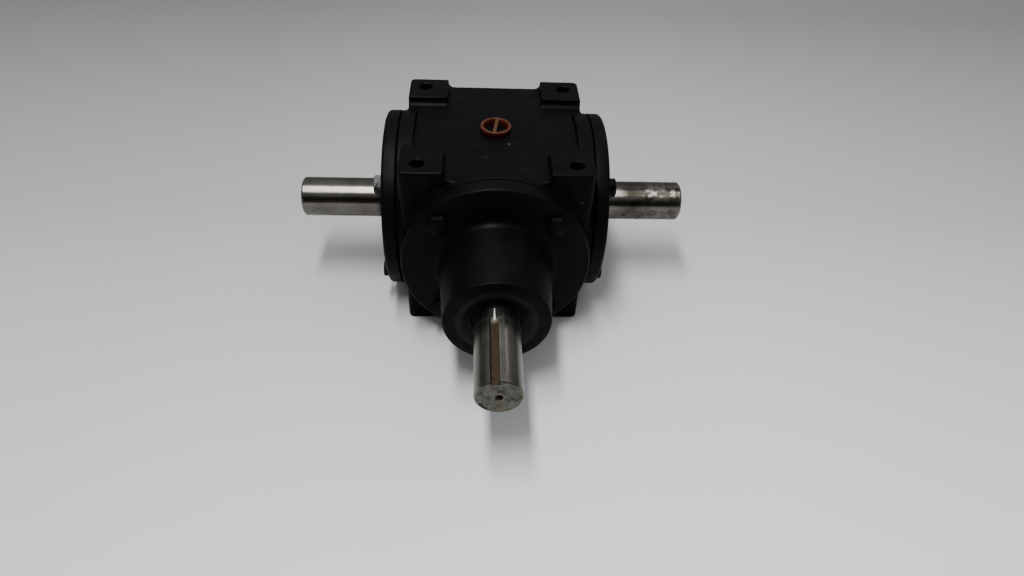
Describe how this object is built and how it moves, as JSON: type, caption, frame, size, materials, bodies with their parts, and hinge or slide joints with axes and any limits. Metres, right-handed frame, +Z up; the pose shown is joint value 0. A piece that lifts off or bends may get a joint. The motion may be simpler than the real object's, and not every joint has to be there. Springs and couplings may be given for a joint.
{
  "type": "right-angle bevel gearbox",
  "caption": "Cubic right-angle bevel gearbox: keyed input shaft in a long front nose and a through cross shaft out of both sides.",
  "frame": {"origin": "middle of the housing's machined underside between the feet, straight below the crossing of the shaft axes", "axes": "+Z up through the crossing of the shaft axes, +X along the cross shaft to the right, +Y to the rear, away from the input shaft"},
  "size_m": [0.312, 0.2842, 0.1428],
  "materials": {
    "black_paint": "semi-gloss black paint over castings",
    "ground_steel": "ground shaft steel with light rust specks",
    "bolt_steel": "bolt heads painted over with the casting",
    "dark_steel": "black oxide",
    "bearing_steel": "ground and polished bearing steel",
    "gear_steel": "hardened gear steel, oiled",
    "seal_rubber": "matte nitrile rubber",
    "shim_fibre": "matte",
    "plug_orange": "slightly dull moulded orange"
  },
  "bodies": {
    "root": {"housing": "black_paint", "left_cover": "black_paint", "right_cover": "black_paint", "pinion_quill": "black_paint", "left_cover_bolt_1": "bolt_steel", "left_cover_bolt_2": "bolt_steel", "left_cover_bolt_3": "bolt_steel", "left_cover_bolt_4": "bolt_steel", "right_cover_bolt_1": "bolt_steel", "right_cover_bolt_2": "bolt_steel", "right_cover_bolt_3": "bolt_steel", "right_cover_bolt_4": "bolt_steel", "pinion_quill_bolt_1": "bolt_steel", "pinion_quill_bolt_2": "bolt_steel", "pinion_quill_bolt_3": "bolt_steel", "pinion_quill_bolt_4": "bolt_steel", "left_cover_shim": "shim_fibre", "right_cover_shim": "shim_fibre", "pinion_quill_shim": "shim_fibre", "left_seal": "seal_rubber", "right_seal": "seal_rubber", "input_seal": "seal_rubber", "filler_plug": "plug_orange", "level_plug": "dark_steel", "drain_plug": "dark_steel", "left_bearing_outer_race": "bearing_steel", "right_bearing_outer_race": "bearing_steel", "pinion_bearing_outer_race": "bearing_steel", "outer_bearing_outer_race": "bearing_steel"},
    "cross_shaft": {"cross_shaft": "ground_steel", "bevel_gear": "gear_steel", "gear_key": "dark_steel", "left_bearing_inner_race": "bearing_steel", "right_bearing_inner_race": "bearing_steel"},
    "input_shaft": {"input_shaft": "ground_steel", "pinion": "gear_steel", "pinion_key": "dark_steel", "pinion_bearing_inner_race": "bearing_steel", "outer_bearing_inner_race": "bearing_steel", "bearing_spacer": "gear_steel", "shaft_locknut": "dark_steel", "pinion_circlip": "dark_steel"},
    "left_bearing_rollers": {"left_bearing_roller_set": "bearing_steel"},
    "right_bearing_rollers": {"right_bearing_roller_set": "bearing_steel"},
    "pinion_bearing_rollers": {"pinion_bearing_roller_set": "bearing_steel"},
    "outer_bearing_rollers": {"outer_bearing_roller_set": "bearing_steel"}
  },
  "joints": [
    {"name": "cross_shaft_spin", "type": "hinge", "parent": "root", "child": "cross_shaft", "pos_m": [0, 0, 0.0649], "axis": [1, 0, 0], "continuous": true},
    {"name": "input_shaft_spin", "type": "hinge", "parent": "root", "child": "input_shaft", "pos_m": [0, 0, 0.0649], "axis": [0, 1, 0], "continuous": true},
    {"name": "left_bearing_rollers_orbit", "type": "hinge", "parent": "root", "child": "left_bearing_rollers", "pos_m": [0, 0, 0.0649], "axis": [1, 0, 0], "continuous": true},
    {"name": "right_bearing_rollers_orbit", "type": "hinge", "parent": "root", "child": "right_bearing_rollers", "pos_m": [0, 0, 0.0649], "axis": [1, 0, 0], "continuous": true},
    {"name": "pinion_bearing_rollers_orbit", "type": "hinge", "parent": "root", "child": "pinion_bearing_rollers", "pos_m": [0, 0, 0.0649], "axis": [0, 1, 0], "continuous": true},
    {"name": "outer_bearing_rollers_orbit", "type": "hinge", "parent": "root", "child": "outer_bearing_rollers", "pos_m": [0, 0, 0.0649], "axis": [0, 1, 0], "continuous": true}
  ],
  "couplings": [
    {"joint": "input_shaft_spin", "follows": "cross_shaft_spin", "ratio": -1},
    {"joint": "left_bearing_rollers_orbit", "follows": "cross_shaft_spin", "ratio": 0.44},
    {"joint": "right_bearing_rollers_orbit", "follows": "cross_shaft_spin", "ratio": 0.44},
    {"joint": "pinion_bearing_rollers_orbit", "follows": "cross_shaft_spin", "ratio": -0.44},
    {"joint": "outer_bearing_rollers_orbit", "follows": "cross_shaft_spin", "ratio": -0.44}
  ]
}
